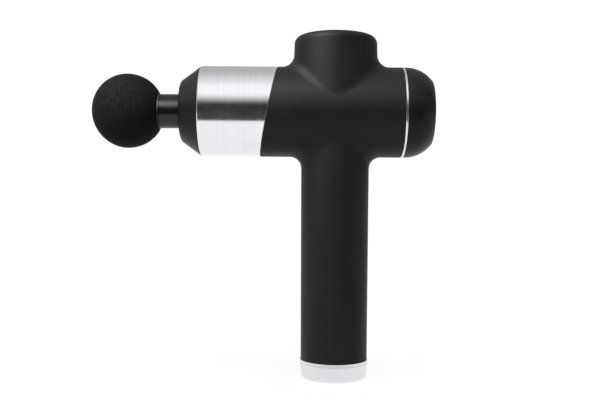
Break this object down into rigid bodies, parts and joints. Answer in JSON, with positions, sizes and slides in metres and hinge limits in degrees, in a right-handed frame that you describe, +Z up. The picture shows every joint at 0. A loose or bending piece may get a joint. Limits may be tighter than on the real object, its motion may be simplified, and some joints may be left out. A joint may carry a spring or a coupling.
{
  "type": "massage gun",
  "caption": "Cordless percussion massage gun with a round foam head on a reciprocating shaft, a metal front sleeve, a motor bump and an upright battery handle.",
  "frame": {"origin": "centre of the flat underside of the base, on the handle's axis", "axes": "+Z up along the handle, -X towards the massage head along the barrel, +Y to the right side seen from behind"},
  "size_m": [0.2274, 0.0602, 0.2275],
  "materials": {
    "soft_black": "matte",
    "cap_black": "satin",
    "sleeve_aluminium": "satin",
    "trim_silver": "satin",
    "foam_black": "matte",
    "core_black": "satin",
    "seal_rubber": "matte",
    "shaft_gunmetal": "satin",
    "frame_aluminium": "satin",
    "bright_steel": "satin",
    "dark_screw": "satin",
    "bell_black": "satin",
    "magnet_grey": "satin",
    "lamination": "satin",
    "copper_wire": "satin",
    "bush_plastic": "satin",
    "board_green": "satin",
    "chip_black": "satin",
    "lens_black": "gloss",
    "key_grey": "satin",
    "lamp_white": "gloss",
    "cell_wrap": "satin",
    "strap_nickel": "satin",
    "holder_black": "matte",
    "pad_grey": "matte",
    "lead_red": "satin",
    "lead_black": "satin",
    "socket_black": "satin",
    "contact_brass": "satin",
    "rocker_black": "satin"
  },
  "bodies": {
    "gun": {"housing_left": "soft_black", "housing_right": "soft_black", "housing_screws": "dark_screw", "front_sleeve": "sleeve_aluminium", "nose_cap": "cap_black", "shaft_seal": "seal_rubber", "drive_frame": "frame_aluminium", "guide_bushes": "bush_plastic", "damping_rings": "seal_rubber", "motor_base": "frame_aluminium", "motor_bearings": "bright_steel", "motor_screws": "dark_screw", "stator_core": "lamination", "stator_windings": "copper_wire", "motor_leads": "lead_black", "rear_ring": "trim_silver", "rear_cap": "cap_black", "cap_screws": "dark_screw", "control_lens": "lens_black", "display_board": "board_green", "display_leds": "lamp_white", "key_switches": "chip_black", "display_cable": "bush_plastic", "controller_board": "board_green", "controller_parts": "chip_black", "board_screws": "bright_steel", "battery_cells": "cell_wrap", "cell_holders": "holder_black", "cell_straps": "strap_nickel", "battery_pad": "pad_grey", "battery_board": "board_green", "battery_chips": "chip_black", "battery_lead": "lead_red", "charge_lead": "lead_black", "base_cap": "trim_silver", "base_ring": "trim_silver", "base_screws": "dark_screw", "charge_socket": "socket_black", "socket_pin": "contact_brass", "switch_frame": "socket_black"},
    "crank": {"rotor_bell": "bell_black", "rotor_magnets": "magnet_grey", "motor_shaft": "bright_steel", "shaft_clip": "bright_steel", "crank_wheel": "bright_steel", "crank_pin": "bright_steel", "crank_bearing": "bright_steel", "pin_clip": "bright_steel"},
    "piston": {"piston_shaft": "shaft_gunmetal", "yoke": "frame_aluminium", "cross_pin": "bright_steel"},
    "head": {"massage_ball": "foam_black", "head_core": "core_black", "head_rings": "seal_rubber"},
    "power_button": {"power_key": "key_grey"},
    "plus_button": {"plus_key": "key_grey"},
    "minus_button": {"minus_key": "key_grey"},
    "rocker": {"power_rocker": "rocker_black"}
  },
  "joints": [
    {"name": "crank_turn", "type": "hinge", "parent": "gun", "child": "crank", "pos_m": [0, 0, 0.185], "axis": [0, 0, 1], "range_deg": [-90, 90]},
    {"name": "piston_stroke", "type": "slide", "parent": "gun", "child": "piston", "axis": [1, 0, 0], "range_m": [-0.006, 0.006]},
    {"name": "head_pull", "type": "slide", "parent": "piston", "child": "head", "axis": [-1, 0, 0], "range_m": [0, 0.04]},
    {"name": "power_press", "type": "slide", "parent": "gun", "child": "power_button", "axis": [-1, 0, 0], "range_m": [0, 0.0006], "stiffness_N_per_m": 400},
    {"name": "plus_press", "type": "slide", "parent": "gun", "child": "plus_button", "axis": [-1, 0, 0], "range_m": [0, 0.0006], "stiffness_N_per_m": 400},
    {"name": "minus_press", "type": "slide", "parent": "gun", "child": "minus_button", "axis": [-1, 0, 0], "range_m": [0, 0.0006], "stiffness_N_per_m": 400},
    {"name": "rocker_tilt", "type": "hinge", "parent": "gun", "child": "rocker", "pos_m": [0.0092, 0, 0.0042], "axis": [0, 1, 0], "range_deg": [-14, 0]}
  ],
  "couplings": [
    {"joint": "piston_stroke", "follows": "crank_turn", "m_per_rad": 0.003819}
  ]
}
